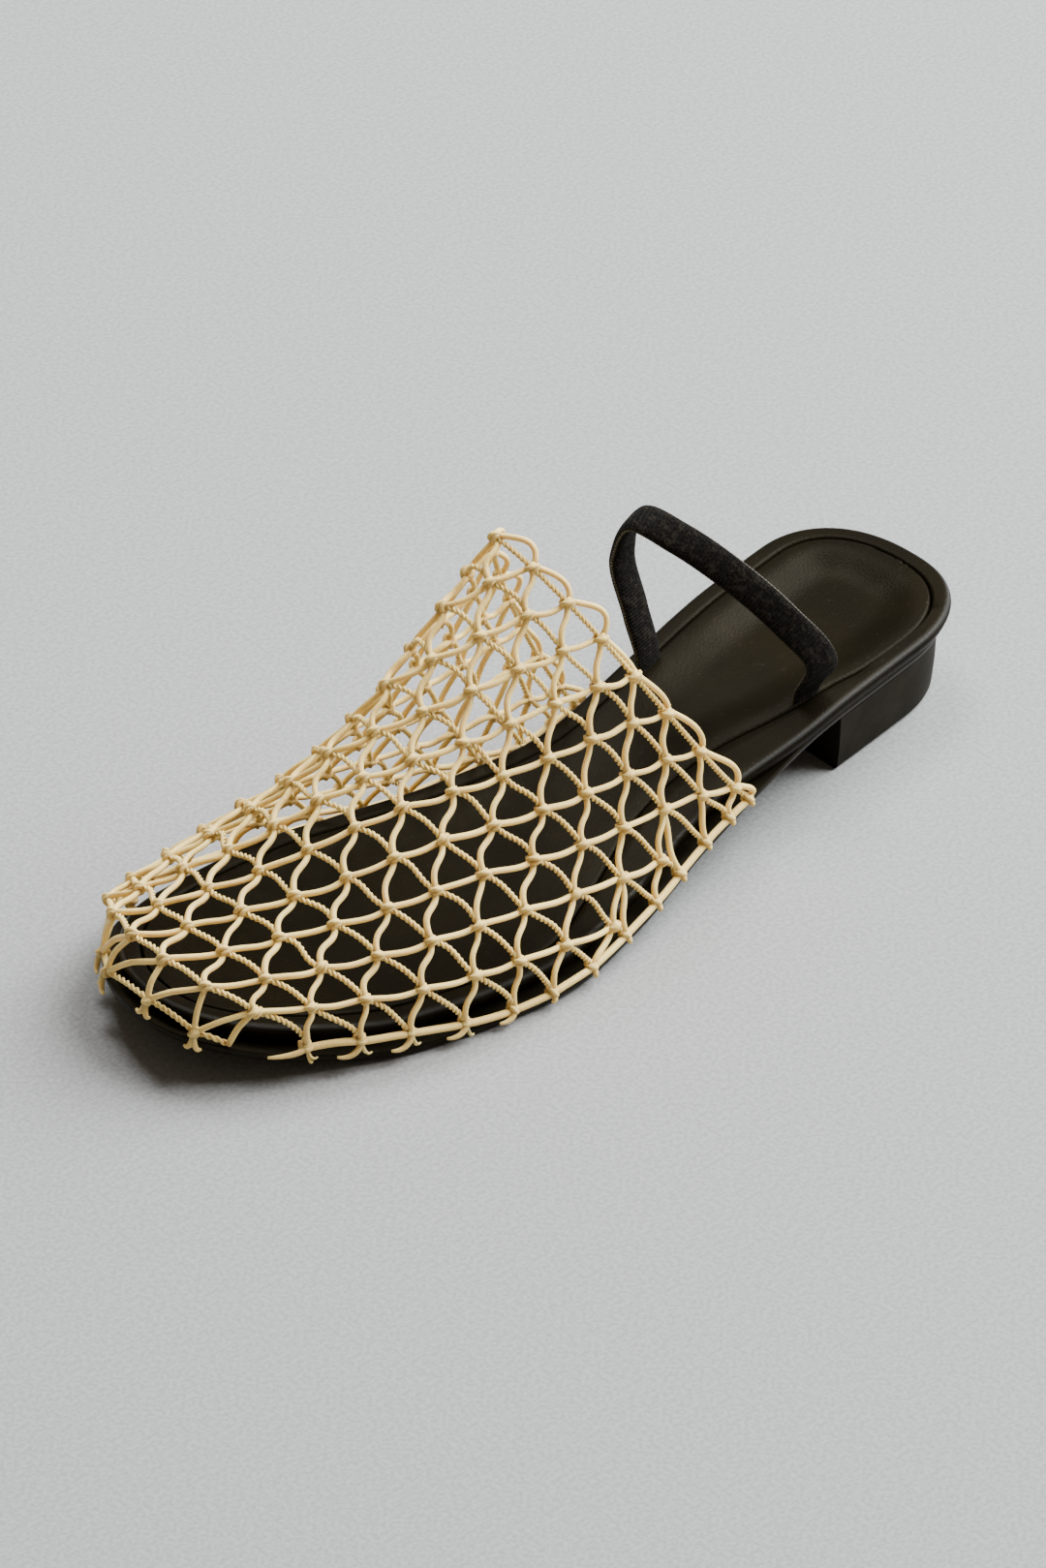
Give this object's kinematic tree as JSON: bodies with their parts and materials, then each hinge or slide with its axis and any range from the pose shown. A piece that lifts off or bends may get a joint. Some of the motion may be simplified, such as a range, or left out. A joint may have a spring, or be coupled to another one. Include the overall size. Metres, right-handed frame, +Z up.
{
  "type": "net sandal",
  "caption": "Left sandal with an open cord-net upper over the forefoot, a black padded footbed, a low block heel and a thin elastic strap.",
  "frame": {"origin": "on the floor, under the middle of the shoe's box", "axes": "+X towards the toe, +Y towards the outer side of the left foot, +Z up"},
  "size_m": [0.25, 0.092, 0.0886],
  "materials": {
    "outsole": "satin black",
    "heel_block": "matte black",
    "midsole": "matte black wrap",
    "insole": "matte black, soft sheen",
    "net_upper": "natural waxed cord",
    "ankle_strap": "black elastic webbing"
  },
  "bodies": {
    "root": {"outsole": "outsole", "heel_block": "heel_block", "midsole": "midsole", "insole": "insole", "net_upper": "net_upper", "ankle_strap": "ankle_strap"}
  },
  "joints": []
}
